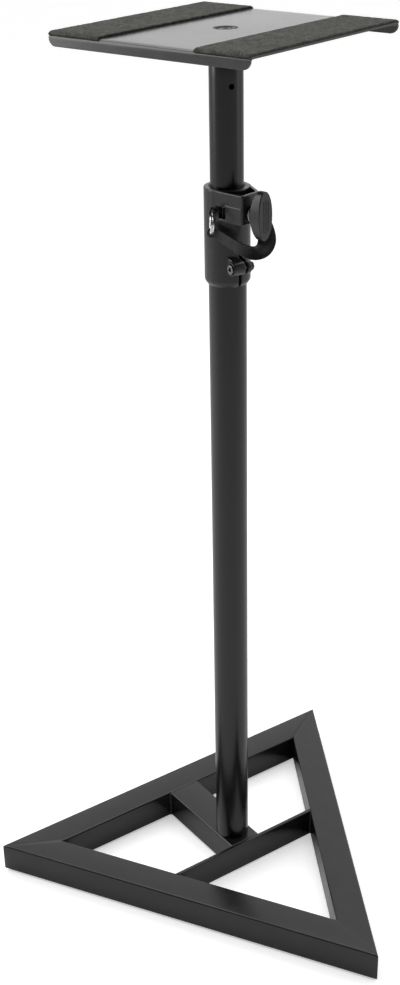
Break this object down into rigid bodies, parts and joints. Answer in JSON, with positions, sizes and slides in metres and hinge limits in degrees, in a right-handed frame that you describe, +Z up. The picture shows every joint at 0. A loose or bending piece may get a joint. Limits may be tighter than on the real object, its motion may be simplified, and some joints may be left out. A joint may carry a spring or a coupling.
{
  "type": "speaker stand",
  "caption": "Height-adjustable speaker stand: triangular box-tube floor frame, telescoping round column with clamp knob and locking pin, square top plate with grip strips.",
  "frame": {"origin": "on the floor, under the middle of the stand's outline seen from above", "axes": "+Z up along the column, +X from the frame's long left side towards its apex, the plate's front flange faces -Y turned 16 degrees"},
  "size_m": [0.4082, 0.478, 0.9705],
  "materials": {
    "frame_paint": "satin black powder coat",
    "rubber": "matt rubber",
    "column_paint": "semi-gloss black paint",
    "plate_paint": "semi-gloss black paint",
    "moulding": "fine-grained moulded plastic",
    "nylon": "smooth black nylon",
    "zinc": "zinc plated",
    "black_steel": "blackened steel",
    "bright_wire": "bright spring wire",
    "strap": "soft moulded strap",
    "grip": "rough foam rubber"
  },
  "bodies": {
    "stand": {"base_side_left": "frame_paint", "base_side_front": "frame_paint", "base_side_right": "frame_paint", "base_spine": "frame_paint", "base_cross_bar": "frame_paint", "foot_pad_left": "rubber", "foot_pad_back": "rubber", "foot_pad_front": "rubber", "column_bolt": "zinc", "column_washer": "zinc", "column_foot_plug": "zinc", "lower_column": "column_paint", "collar_body": "moulding", "guide_bush": "nylon", "clamp_screw": "black_steel", "clamp_nut": "black_steel", "stud_nut": "zinc", "pin_leash": "strap"},
    "glide": {"column_glide": "nylon"},
    "mast": {"upper_column": "column_paint", "top_plug": "zinc", "top_plate": "plate_paint", "plate_screw": "black_steel", "plate_washer": "black_steel", "grip_strip_left": "grip", "grip_strip_right": "grip"},
    "brake": {"brake_shoe": "nylon"},
    "knob": {"knob_stud": "zinc", "clamp_knob": "moulding"},
    "pin": {"locking_pin": "black_steel", "pin_ring": "bright_wire"}
  },
  "joints": [
    {"name": "column_slide", "type": "slide", "parent": "stand", "child": "glide", "axis": [0, 0, 1], "range_m": [-0.115, 0.345]},
    {"name": "column_swivel", "type": "hinge", "parent": "glide", "child": "mast", "pos_m": [-0.0613, 0, 0.8], "axis": [0, 0, 1], "continuous": true},
    {"name": "brake_travel", "type": "slide", "parent": "stand", "child": "brake", "axis": [0.9781, 0.2079, 0], "range_m": [0, 0.0013]},
    {"name": "knob_turn", "type": "hinge", "parent": "brake", "child": "knob", "pos_m": [-0.00718, 0.00026, 0.8027], "axis": [0.9781, 0.2079, 0], "range_deg": [0, 360]},
    {"name": "pin_pull", "type": "slide", "parent": "stand", "child": "pin", "axis": [0.454, -0.891, 0], "range_m": [0, 0.02], "deforming": ["pin_leash"]}
  ],
  "couplings": [
    {"joint": "brake_travel", "follows": "knob_turn", "m_per_rad": 0.00019894}
  ]
}
